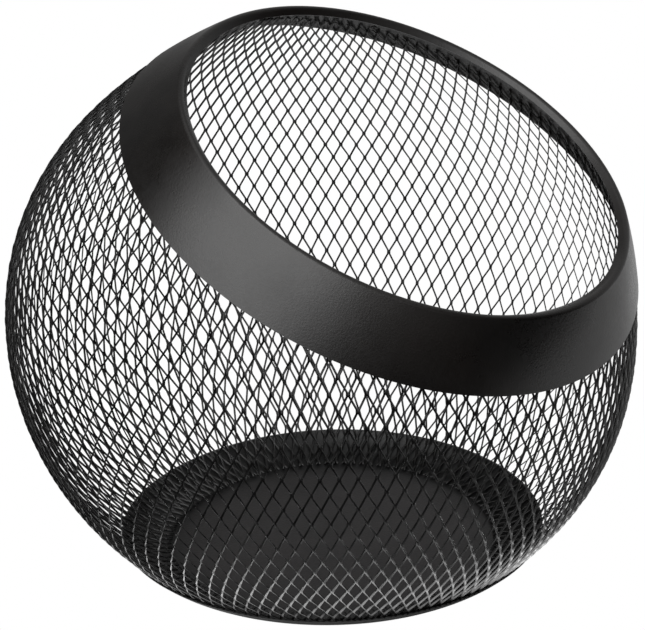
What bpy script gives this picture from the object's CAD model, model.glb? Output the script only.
import math
import bmesh
import bpy
import numpy as np
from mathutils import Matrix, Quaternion, Vector


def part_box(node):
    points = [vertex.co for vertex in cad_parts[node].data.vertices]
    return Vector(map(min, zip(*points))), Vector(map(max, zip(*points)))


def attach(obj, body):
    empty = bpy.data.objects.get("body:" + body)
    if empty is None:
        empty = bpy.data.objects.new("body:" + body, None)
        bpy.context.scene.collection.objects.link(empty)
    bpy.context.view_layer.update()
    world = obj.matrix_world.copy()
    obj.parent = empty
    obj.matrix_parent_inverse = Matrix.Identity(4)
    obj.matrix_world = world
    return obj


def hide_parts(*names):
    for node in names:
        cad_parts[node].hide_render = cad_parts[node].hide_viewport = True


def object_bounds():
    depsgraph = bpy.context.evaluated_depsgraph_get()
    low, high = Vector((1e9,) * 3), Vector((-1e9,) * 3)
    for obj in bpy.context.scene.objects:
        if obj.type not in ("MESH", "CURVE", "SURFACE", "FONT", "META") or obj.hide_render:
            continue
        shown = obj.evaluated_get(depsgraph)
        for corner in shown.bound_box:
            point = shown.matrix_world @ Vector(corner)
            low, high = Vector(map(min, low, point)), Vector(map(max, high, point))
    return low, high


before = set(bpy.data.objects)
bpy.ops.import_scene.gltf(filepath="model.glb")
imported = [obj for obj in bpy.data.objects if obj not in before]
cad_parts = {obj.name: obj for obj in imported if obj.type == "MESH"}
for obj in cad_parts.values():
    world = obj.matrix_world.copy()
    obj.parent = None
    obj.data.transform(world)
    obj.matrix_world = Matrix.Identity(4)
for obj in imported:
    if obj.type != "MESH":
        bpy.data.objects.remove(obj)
cad_low, cad_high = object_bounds()

# Metres and degrees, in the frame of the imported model: +Z up, the mouth's low side towards -Y.

# Camera: where it stands round the object and what it aims at, from the middle of the object's box.
CAMERA_TURN = 52.86
CAMERA_RISE = 22.11
CAMERA_DISTANCE = 1.5323
CAMERA_AIM = Vector((-0.0062, -0.0042, -0.0117))
CAMERA_ROLL = 0.745
CAMERA_LENS = 135.6

# Expanded metal: a sheet slit and stretched into diamonds, long way up, then formed into the globe.
# Bonds join the strands in level rows. Strands and bonds lean about their own length.
COLUMNS = 113
COLUMN_TURN = 2.799
STRAND_LENGTH = 0.01159
FIRST_ROW_HEIGHT = 0.0036
STRAND_WIDTH = 0.0013
SHEET_THICKNESS = 0.00065
STRAND_LEAN = 30.0
BOND_HEIGHT = 0.0022
MESH_INSET = 0.00085

# Seeded unevenness of the bonds.
UNEVEN_SHIFT = 0.00008
UNEVEN_LEAN = 2.5
SEED = 7

# Where the mesh bends inwards over the bowl's floor: the plain globe reaches down to BEND_TOP, and
# BEND_REACH is how far from the floor and from the globe the rounding between them starts.
# FOOT_ROWS rows of bonds go on down from there. Their spacing is measured along a profile of the
# mesh, swept from a point on the axis at PROFILE_HEIGHT until it dips PROFILE_LAST_DIP radians.
GLOBE_CENTRE_HEIGHT = 0.1666
MESH_FLOOR = 0.0014
BEND_TOP = 0.0135
BEND_REACH = 0.0093
FOOT_ROWS = 4
PROFILE_HEIGHT = 0.05
PROFILE_LAST_DIP = 0.55
PROFILE_STEPS = 60

# Fit of the globe's form: its degree, and the least cosine between the outward way and the normal
# of a face that is used.
FIT_DEGREE = 8
LEAST_FACING = 0.5
# Search for points of the surface, and the step that its normals are measured over.
LONGEST_REACH = 0.3
HALVINGS = 30
SLOPE_STEP = 1e-4
# Heights between which the rows of bonds are laid out, and how finely height and girth are sampled.
LOWEST_HEIGHT = 0.002
TOP_HEIGHT = 0.345
HEIGHT_STEPS = 400
GIRTH_STEPS = 24

# Coats: colours, darker one first, and the radii between which the bowl's ash thins out.
MESH_BLACKS = ((0.0026, 0.0026, 0.0026), (0.0048, 0.0046, 0.0046))
MESH_DUST = (0.02, 0.0185, 0.018)
BAND_BLACKS = ((0.0030, 0.0027, 0.0026), (0.0068, 0.0055, 0.0049))
BAND_DUST = (0.016, 0.0145, 0.0135)
BOWL_BLACK = (0.004, 0.004, 0.004)
BOWL_ASH = (0.020, 0.0184, 0.0188)
ASH_SPECKS = (0.045, 0.042, 0.041)
ASH_RADII = (0.085, 0.112)
WELD_BLACKS = ((0.004, 0.004, 0.004), (0.012, 0.011, 0.010))
NOISE_ROUGHNESS = 0.55

# Soft lights of the studio: turn to the right of the camera, rise, inner and outer radius, glow.
SOFT_LIGHTS = (
    (-34, 42, 8, 50, 4.4),
    (150, 5, 20, 60, 0.5),
    (-150, 30, 12, 35, 0.17),
    (25, 30, 10, 38, 0.3),
    (0, 90, 10, 45, 1.0),
)
ROOM_GLOW = 0.006

# Floor: a grey disc under the object, shifted behind it and to its side as the camera sees it.
# The camera's own rays see it white.
FLOOR_RADIUS = 0.8
FLOOR_SEGMENTS = 128
FLOOR_TURN = 135
FLOOR_SHIFT = 0.58
FLOOR_DROP = 0.0005
FLOOR_GREY = (0.6, 0.6, 0.6)
FLOOR_ROUGHNESS = 0.8
# The floor glows softly in a ring round the object, as over a light table: where the glow starts,
# is full, begins to fade and ends, from the object's axis, and how bright it is.
GLOW_RING = (0.128, 0.146, 0.152, 0.205)
RING_GLOW = 3.3

WHITE = (1, 1, 1)


class Globe:
    """Smooth form of the globe's outer surface, fitted to the outer face of the CAD mesh basket."""

    def __init__(self, node):
        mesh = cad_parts[node].data
        low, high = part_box(node)
        self.centre = np.array([(low.x + high.x) / 2, 0.0, GLOBE_CENTRE_HEIGHT])
        points = np.array([v.co for v in mesh.vertices])
        middles = np.array([p.center for p in mesh.polygons]) - self.centre
        normals = np.array([p.normal for p in mesh.polygons])
        facing = np.sum(middles * normals, 1) / np.linalg.norm(middles, axis=1)
        used = {i for p, out in zip(mesh.polygons, facing > LEAST_FACING) if out for i in p.vertices}
        ways = np.array([points[i] for i in sorted(used) if points[i][2] > BEND_TOP]) - self.centre
        reach = np.linalg.norm(ways, axis=1)
        self.weights = np.linalg.lstsq(self.terms(ways / reach[:, None]), reach, rcond=None)[0]

    @staticmethod
    def terms(unit):
        """Products of powers of a unit vector's x, y and z that span smooth forms up to the degree."""
        x, y, z = unit.T
        return np.stack([
            x**i * y**j * z**k
            for i in range(FIT_DEGREE + 1)
            for j in range(FIT_DEGREE + 1 - i)
            for k in (0, 1)
            if i + j + k <= FIT_DEGREE
        ], 1)

    def past_wall(self, points):
        """How far points lie outside the plain globe, measured from its centre."""
        ways = points - self.centre
        reach = np.linalg.norm(ways, axis=1)
        return reach - self.terms(ways / reach[:, None]) @ self.weights

    def past_skin(self, points):
        """How far points lie outside the mesh, which rounds inwards over the bowl's floor."""
        wall = self.past_wall(points)
        floor = MESH_FLOOR - points[:, 2]
        rounded = np.hypot(wall + BEND_REACH, floor + BEND_REACH) - BEND_REACH
        in_bend = (wall > -BEND_REACH) & (floor > -BEND_REACH)
        return np.where(in_bend, rounded, np.maximum(wall, floor))

    @staticmethod
    def hit(past, origins, directions):
        """Where lines from inside a surface cross it."""
        near = np.zeros(len(origins))
        far = np.full(len(origins), LONGEST_REACH)
        for _ in range(HALVINGS):
            middle = (near + far) / 2
            outside = past(origins + directions * middle[:, None]) > 0
            far = np.where(outside, middle, far)
            near = np.where(outside, near, middle)
        return origins + directions * ((near + far) / 2)[:, None]

    def normals(self, points):
        """Outward unit normals of the mesh's outer surface."""
        slopes = []
        for axis in np.eye(3) * SLOPE_STEP:
            slopes.append(self.past_skin(points + axis) - self.past_skin(points - axis))
        slopes = np.stack(slopes, 1)
        return slopes / np.linalg.norm(slopes, axis=1)[:, None]

    def around(self, turns, heights):
        """Points of the plain globe at angles about Z, in radians, and heights."""
        origins = np.stack([turns * 0, turns * 0, heights], 1)
        directions = np.stack([np.cos(turns), np.sin(turns), turns * 0], 1)
        return self.hit(self.past_wall, origins, directions)

    def below(self, turns, height, length):
        """Points of the mesh's outer surface at a length along it, down from a height."""
        origin = np.array([0, 0, PROFILE_HEIGHT])
        start = self.around(turns, np.full(len(turns), height))
        dips = np.arctan2(origin[2] - height, np.linalg.norm(start[:, :2], axis=1))
        steps = np.linspace(0, 1, PROFILE_STEPS)[:, None]
        dips = (dips + (PROFILE_LAST_DIP - dips) * steps).ravel()
        every = np.tile(turns, PROFILE_STEPS)
        ways = np.stack([np.cos(every) * np.cos(dips), np.sin(every) * np.cos(dips), -np.sin(dips)], 1)
        points = self.hit(self.past_skin, np.tile(origin, (len(every), 1)), ways)
        points = points.reshape(PROFILE_STEPS, len(turns), 3)
        gaps = np.linalg.norm(np.diff(points, axis=0), axis=2)
        along = np.concatenate([np.zeros((1, len(turns))), np.cumsum(gaps, 0)])
        return np.stack([
            [np.interp(length, along[:, k], points[:, k, axis]) for axis in range(3)]
            for k in range(len(turns))
        ])


globe = Globe("mesh_basket")


def row_step(radii):
    """Rise along the wall from one row of bonds to the next, where the globe has these radii."""
    return np.sqrt(STRAND_LENGTH**2 - (math.pi * radii / COLUMNS) ** 2)


def row_heights():
    """Heights of the rows of bonds: strands keep their length, so rows close up at the girth."""
    heights = np.linspace(LOWEST_HEIGHT, TOP_HEIGHT, HEIGHT_STEPS)
    turns = np.linspace(0, 2 * math.pi, GIRTH_STEPS, endpoint=False)
    radii = np.mean([
        np.linalg.norm(globe.around(np.full_like(heights, turn), heights)[:, :2], axis=1)
        for turn in turns
    ], 0)
    along = np.concatenate([[0], np.cumsum(np.hypot(np.diff(radii), np.diff(heights)))])
    step = row_step(radii)
    rows = np.concatenate([[0], np.cumsum(np.diff(along) * 2 / (step[1:] + step[:-1]))])
    first = np.interp(FIRST_ROW_HEIGHT, heights, rows)
    count = int(rows[-1] - first)
    return np.interp(first + np.arange(count + 1), rows, heights)


def row_turns(row):
    """Angles about Z of a row's bonds; every other row is half a column round."""
    return math.radians(COLUMN_TURN) + 2 * math.pi * (np.arange(COLUMNS) + row % 2 / 2) / COLUMNS


def bond_rows():
    """Rows of bonds from the foot up, as row number, angles and surface points."""
    heights = row_heights()
    wall = [row for row in range(len(heights)) if heights[row] > BEND_TOP]
    rows = []
    for row in range(wall[0] - FOOT_ROWS, wall[0]):
        turns = row_turns(row)
        start = globe.around(turns, np.full(COLUMNS, heights[wall[0]]))
        length = (wall[0] - row) * row_step(np.linalg.norm(start[:, :2], axis=1).mean())
        rows.append((row, turns, globe.below(turns, heights[wall[0]], length)))
    for row in wall:
        turns = row_turns(row)
        rows.append((row, turns, globe.around(turns, np.full(COLUMNS, heights[row]))))
    return rows


def bond_corners(rows):
    """Corners of the leaning blocks that join the strands, by row, rise, side, face and column."""
    draw = np.random.default_rng(SEED)
    corners = []
    for _, turns, points in rows:
        out = globe.normals(points)
        right = np.stack([-np.sin(turns), np.cos(turns), turns * 0], 1)
        up = np.cross(out, right)
        up /= np.linalg.norm(up, axis=1)[:, None]
        right = np.cross(up, out)
        lean = np.radians(STRAND_LEAN + UNEVEN_LEAN * draw.standard_normal(COLUMNS))[:, None]
        wide = np.cos(lean) * right + np.sin(lean) * out
        thick = np.cos(lean) * out - np.sin(lean) * right
        middle = points - out * MESH_INSET
        middle = middle + UNEVEN_SHIFT * (right + up) * draw.standard_normal((COLUMNS, 1))
        for rise in (-0.5, 0.5):
            for side in (-1, 0, 1):
                for face in (-0.5, 0.5):
                    corners.append(
                        middle + up * BOND_HEIGHT * rise + wide * STRAND_WIDTH * side
                        + thick * SHEET_THICKNESS * face
                    )
    return np.array(corners).reshape(len(rows), 2, 3, 2, COLUMNS, 3)


def strand_faces(rows, corners):
    """Points and faces of the bonds and of the strands that rise from them to the next row."""
    index = np.arange(corners.size // 3).reshape(corners.shape[:-1]).tolist()
    points = [tuple(p) for p in corners.reshape(-1, 3)]
    faces = []

    def corner(row, rise, side, face, column):
        return index[row][rise][side][face][column % COLUMNS]

    def tube(lower, upper):
        """Side faces between two ends, each with its corners in order round it."""
        for i in range(len(lower)):
            j = (i + 1) % len(lower)
            faces.append((lower[i], lower[j], upper[j], upper[i]))

    def cut_end(lower, upper):
        """Closed end halfway up a strand, where the mesh is cut off at its foot."""
        end = []
        for i, j in zip(lower, upper):
            points.append(tuple((Vector(points[i]) + Vector(points[j])) / 2))
            end.append(len(points) - 1)
        faces.append(tuple(end))
        return end

    ring = ((1, 0), (2, 0), (2, 1), (1, 1), (0, 1), (0, 0))
    for i, (row, _, _) in enumerate(rows):
        for k in range(COLUMNS):
            if i > 0:
                tube([corner(i, 0, s, f, k) for s, f in ring], [corner(i, 1, s, f, k) for s, f in ring])
            if i + 1 == len(rows):
                continue
            for side, shift, column in ((1, -1, k + row % 2), (0, 1, k - 1 + row % 2)):
                section = ((side, 0), (side + 1, 0), (side + 1, 1), (side, 1))
                lower = [corner(i, 1, s, f, k) for s, f in section]
                upper = [corner(i + 1, 0, s + shift, f, column) for s, f in section]
                if i == 0:
                    lower = cut_end(lower, upper)
                tube(lower, upper)
    return points, faces


def mouth_plane():
    """Unit normal of the mouth's plane, from the row of rim welds, and the mesh's top along it."""
    welds = np.array([v.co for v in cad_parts["rim_spot_welds"].data.vertices])
    normal = np.linalg.svd(welds - welds.mean(0))[2][2]
    normal = normal * np.sign(normal[2])
    mesh = np.array([v.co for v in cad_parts["mesh_basket"].data.vertices])
    return Vector(normal), (mesh @ normal).max()


def make_mesh_strands():
    """Raised expanded metal over the whole globe, cut off at the mouth."""
    rows = bond_rows()
    points, faces = strand_faces(rows, bond_corners(rows))
    mesh = bpy.data.meshes.new("mesh_strands")
    mesh.from_pydata(points, [], faces)
    bm = bmesh.new()
    bm.from_mesh(mesh)
    normal, top = mouth_plane()
    cut = bmesh.ops.bisect_plane(
        bm, geom=bm.verts[:] + bm.edges[:] + bm.faces[:],
        plane_co=normal * top, plane_no=normal, clear_outer=True,
    )
    cut_edges = [e for e in cut["geom_cut"] if isinstance(e, bmesh.types.BMEdge)]
    bmesh.ops.edgeloop_fill(bm, edges=cut_edges)
    bmesh.ops.delete(bm, geom=[v for v in bm.verts if not v.link_faces], context="VERTS")
    bmesh.ops.recalc_face_normals(bm, faces=bm.faces[:])
    for face in bm.faces:
        face.smooth = True
    bm.to_mesh(mesh)
    bm.free()
    return add_object("mesh_strands", mesh)


def add_object(name, data):
    """A new object in the scene."""
    item = bpy.data.objects.new(name, data)
    bpy.context.scene.collection.objects.link(item)
    return item


def direction(turn, rise):
    """Unit vector with a turn about Z, from -Y towards -X, and a rise above level."""
    turn, rise = math.radians(turn), math.radians(rise)
    return Vector((-math.sin(turn) * math.cos(rise), -math.cos(turn) * math.cos(rise), math.sin(rise)))


class Nodes:
    """Adds nodes to a shader tree and links them."""

    def __init__(self, tree):
        self.tree = tree

    def add(self, kind, **settings):
        """A new node with its settings."""
        node = self.tree.nodes.new(kind)
        for name, value in settings.items():
            setattr(node, name, value)
        return node

    def feed(self, socket, value):
        """Gives a socket another node's output, or a number, vector or colour."""
        if isinstance(value, bpy.types.NodeSocket):
            self.tree.links.new(value, socket)
        else:
            socket.default_value = value

    def ramp(self, value, from_low, from_high, low, high, curve="SMOOTHSTEP"):
        """Value mapped from one range to another, smoothly and held at its ends."""
        node = self.add("ShaderNodeMapRange", interpolation_type=curve)
        self.feed(node.inputs["Value"], value)
        self.feed(node.inputs["From Min"], from_low)
        self.feed(node.inputs["From Max"], from_high)
        self.feed(node.inputs["To Min"], low)
        self.feed(node.inputs["To Max"], high)
        return node.outputs["Result"]

    def combine(self, how, first, second):
        """Two values combined by a sum or product."""
        node = self.add("ShaderNodeMath", operation=how)
        self.feed(node.inputs[0], first)
        self.feed(node.inputs[1], second)
        return node.outputs["Value"]

    def measure(self, how, vector, other):
        """Number that a vector and a fixed one give, such as their distance."""
        node = self.add("ShaderNodeVectorMath", operation=how)
        self.feed(node.inputs[0], vector)
        self.feed(node.inputs[1], other)
        return node.outputs["Value"]

    def seen(self, by_camera, otherwise):
        """Shader that differs between the camera's own rays and all others."""
        mix = self.add("ShaderNodeMixShader")
        self.feed(mix.inputs["Fac"], self.add("ShaderNodeLightPath").outputs["Is Camera Ray"])
        self.feed(mix.inputs[1], otherwise)
        self.feed(mix.inputs[2], by_camera)
        return mix.outputs["Shader"]


class Coat(Nodes):
    """A material with one principled shader, built up from object-space noises."""

    def __init__(self, name, specular=0.5):
        self.material = bpy.data.materials.new(name)
        self.material.use_nodes = True
        super().__init__(self.material.node_tree)
        self.shader = self.tree.nodes["Principled BSDF"]
        self.set("Specular IOR Level", specular)
        self.place = self.add("ShaderNodeTexCoord").outputs["Object"]

    def set(self, name, value):
        """Gives one of the shader's own sockets its value."""
        self.feed(self.shader.inputs[name], value)

    def noise(self, scale, low, high, detail=4.0, spread=0.25):
        """Noise that runs from low to high about its middle value."""
        noise = self.add("ShaderNodeTexNoise")
        self.feed(noise.inputs["Scale"], scale)
        self.feed(noise.inputs["Detail"], detail)
        self.feed(noise.inputs["Roughness"], NOISE_ROUGHNESS)
        self.feed(noise.inputs["Vector"], self.place)
        return self.ramp(noise.outputs["Fac"], 0.5 - spread, 0.5 + spread, low, high)

    def blend(self, share, first, second):
        """Mix of two colours; each is a colour or another node's output."""
        node = self.add("ShaderNodeMix", data_type="RGBA")
        self.feed(node.inputs["Factor"], share)
        for socket, colour in ((node.inputs[6], first), (node.inputs[7], second)):
            self.feed(socket, (*colour, 1) if isinstance(colour, tuple) else colour)
        return node.outputs[2]

    def upwards(self, from_low, from_high, low, high):
        """Value that follows how far a surface faces up, from -1 to 1."""
        split = self.add("ShaderNodeSeparateXYZ")
        self.feed(split.inputs[0], self.add("ShaderNodeNewGeometry").outputs["Normal"])
        return self.ramp(split.outputs["Z"], from_low, from_high, low, high)

    def lying(self, amount):
        """An amount of dust or ash that lies only on surfaces which face up."""
        return self.combine("MULTIPLY", self.upwards(0.35, 0.95, 0, 1), amount)

    def bump(self, height, distance):
        """Fine relief from a height between 0 and 1."""
        node = self.add("ShaderNodeBump")
        self.feed(node.inputs["Distance"], distance)
        self.feed(node.inputs["Strength"], 1)
        self.feed(node.inputs["Height"], height)
        self.set("Normal", node.outputs["Normal"])

    def finish(self, colour, roughness):
        """The material with its colour and roughness."""
        self.set("Base Color", colour)
        self.set("Roughness", roughness)
        return self.material


def mesh_coat():
    """Black powder coat on the strands, duller and greyer where dust lies on upper faces."""
    coat = Coat("black_mesh_coat", specular=0.38)
    colour = coat.blend(coat.noise(30, 0, 1), *MESH_BLACKS)
    colour = coat.blend(coat.lying(coat.noise(120, 0, 0.3)), colour, MESH_DUST)
    coat.bump(coat.noise(2500, 0, 1, detail=2), 0.00004)
    return coat.finish(colour, coat.noise(60, 0.2, 0.34))


def band_coat():
    """Satin black powder coat on the rim band: fine orange peel, uneven gloss and a little dust."""
    coat = Coat("black_band_coat")
    colour = coat.blend(coat.noise(14, 0, 1), *BAND_BLACKS)
    colour = coat.blend(coat.lying(coat.noise(45, 0, 0.4)), colour, BAND_DUST)
    coat.bump(coat.noise(900, 0, 1, detail=2), 0.00003)
    gloss = coat.combine("ADD", coat.noise(16, 0.22, 0.34), coat.noise(400, 0, 0.05))
    return coat.finish(colour, gloss)


def bowl_coat():
    """Matt black coat on the bowl, greyed by ash on its floor and dull on its underside."""
    coat = Coat("black_bowl_coat")
    coat.set("Specular IOR Level", coat.upwards(-0.5, 0, 0.08, 0.4))
    flat = coat.add("ShaderNodeVectorMath", operation="MULTIPLY")
    coat.feed(flat.inputs[0], coat.place)
    coat.feed(flat.inputs[1], (1, 1, 0))
    radius = coat.measure("DISTANCE", flat.outputs["Vector"], (0, 0, 0))
    inside = coat.ramp(radius, *ASH_RADII, 1, 0)
    ash = coat.combine("MULTIPLY", inside, coat.lying(coat.noise(22, 0.55, 1)))
    specks = coat.noise(700, 0, 1, detail=3, spread=0.12)
    speckled = coat.combine("MULTIPLY", ash, specks)
    speckled = coat.combine("MULTIPLY", speckled, coat.noise(60, 0, 0.4))
    colour = coat.blend(ash, BOWL_BLACK, BOWL_ASH)
    colour = coat.blend(speckled, colour, ASH_SPECKS)
    coat.bump(specks, 0.00006)
    dullness = coat.combine("ADD", coat.noise(12, 0.34, 0.44), coat.ramp(ash, 0, 1, 0, 0.1))
    return coat.finish(colour, dullness)


def weld_coat(name):
    """Painted weld nuggets: rougher and slightly lumpier than the sheets they join."""
    coat = Coat(name)
    colour = coat.blend(coat.noise(350, 0, 1), *WELD_BLACKS)
    coat.bump(coat.noise(1200, 0, 1), 0.00015)
    return coat.finish(colour, coat.noise(300, 0.4, 0.6))


def paint(node, material):
    """Gives a CAD node its coat."""
    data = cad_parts[node].data
    data.materials.clear()
    data.materials.append(material)


def make_camera():
    """Camera at the studio's viewing angle, rolled a little about its own axis."""
    data = bpy.data.cameras.new("camera")
    camera = add_object("camera", data)
    back = direction(CAMERA_TURN, CAMERA_RISE)
    aim = (cad_low + cad_high) / 2 + CAMERA_AIM
    camera.location = aim + back * CAMERA_DISTANCE
    camera.rotation_mode = "QUATERNION"
    roll = Quaternion((0, 0, 1), math.radians(-CAMERA_ROLL))
    camera.rotation_quaternion = (-back).to_track_quat("-Z", "Y") @ roll
    data.lens = CAMERA_LENS
    data.clip_end = 100
    bpy.context.scene.camera = camera


def make_stage():
    """Round floor: grey to the lights, white to the camera, glowing in a ring round the object."""
    bm = bmesh.new()
    bmesh.ops.create_circle(bm, cap_ends=True, segments=FLOOR_SEGMENTS, radius=FLOOR_RADIUS)
    mesh = bpy.data.meshes.new("floor")
    bm.to_mesh(mesh)
    bm.free()
    floor = add_object("floor", mesh)
    floor.location = direction(CAMERA_TURN - FLOOR_TURN, 0) * FLOOR_SHIFT
    floor.location.z = -FLOOR_DROP
    coat = Coat("floor", specular=0)
    away = coat.measure("DISTANCE", coat.place, (-floor.location.x, -floor.location.y, 0))
    start, full, fade, end = GLOW_RING
    glow = coat.combine("MULTIPLY", coat.ramp(away, start, full, 0, RING_GLOW),
                        coat.ramp(away, fade, end, 1, 0))
    coat.set("Base Color", (*FLOOR_GREY, 1))
    coat.set("Roughness", FLOOR_ROUGHNESS)
    coat.set("Emission Color", (*WHITE, 1))
    coat.set("Emission Strength", glow)
    white = coat.add("ShaderNodeEmission")
    surface = coat.seen(white.outputs["Emission"], coat.shader.outputs["BSDF"])
    coat.feed(coat.tree.nodes["Material Output"].inputs["Surface"], surface)
    mesh.materials.append(coat.material)


def make_lights():
    """World of soft lights by direction, with a plain white surround for the camera."""
    world = bpy.data.worlds.new("studio")
    bpy.context.scene.world = world
    world.use_nodes = True
    world.node_tree.nodes.clear()
    nodes = Nodes(world.node_tree)
    place = nodes.add("ShaderNodeTexCoord").outputs["Generated"]
    total = ROOM_GLOW
    for turn, rise, inner, outer, glow in SOFT_LIGHTS:
        nearness = nodes.measure("DOT_PRODUCT", place, direction(CAMERA_TURN - turn, rise))
        edge, core = (math.cos(math.radians(radius)) for radius in (outer, inner))
        lobe = nodes.ramp(nearness, edge, core, 0, glow, curve="SMOOTHERSTEP")
        total = nodes.combine("ADD", lobe, total)
    lights = nodes.add("ShaderNodeBackground")
    nodes.feed(lights.inputs["Strength"], total)
    surround = nodes.add("ShaderNodeBackground")
    nodes.feed(surround.inputs["Color"], (*WHITE, 1))
    surface = nodes.seen(surround.outputs["Background"], lights.outputs["Background"])
    nodes.feed(nodes.add("ShaderNodeOutputWorld").inputs["Surface"], surface)
    bpy.context.scene.view_settings.view_transform = "Standard"


make_camera()
strands = make_mesh_strands()
strands.data.materials.append(mesh_coat())
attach(strands, "root")
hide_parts("mesh_basket")
paint("rim_band", band_coat())
paint("base_bowl", bowl_coat())
for name in ("rim_spot_welds", "base_spot_welds"):
    paint(name, weld_coat("black_" + name))
make_stage()
make_lights()
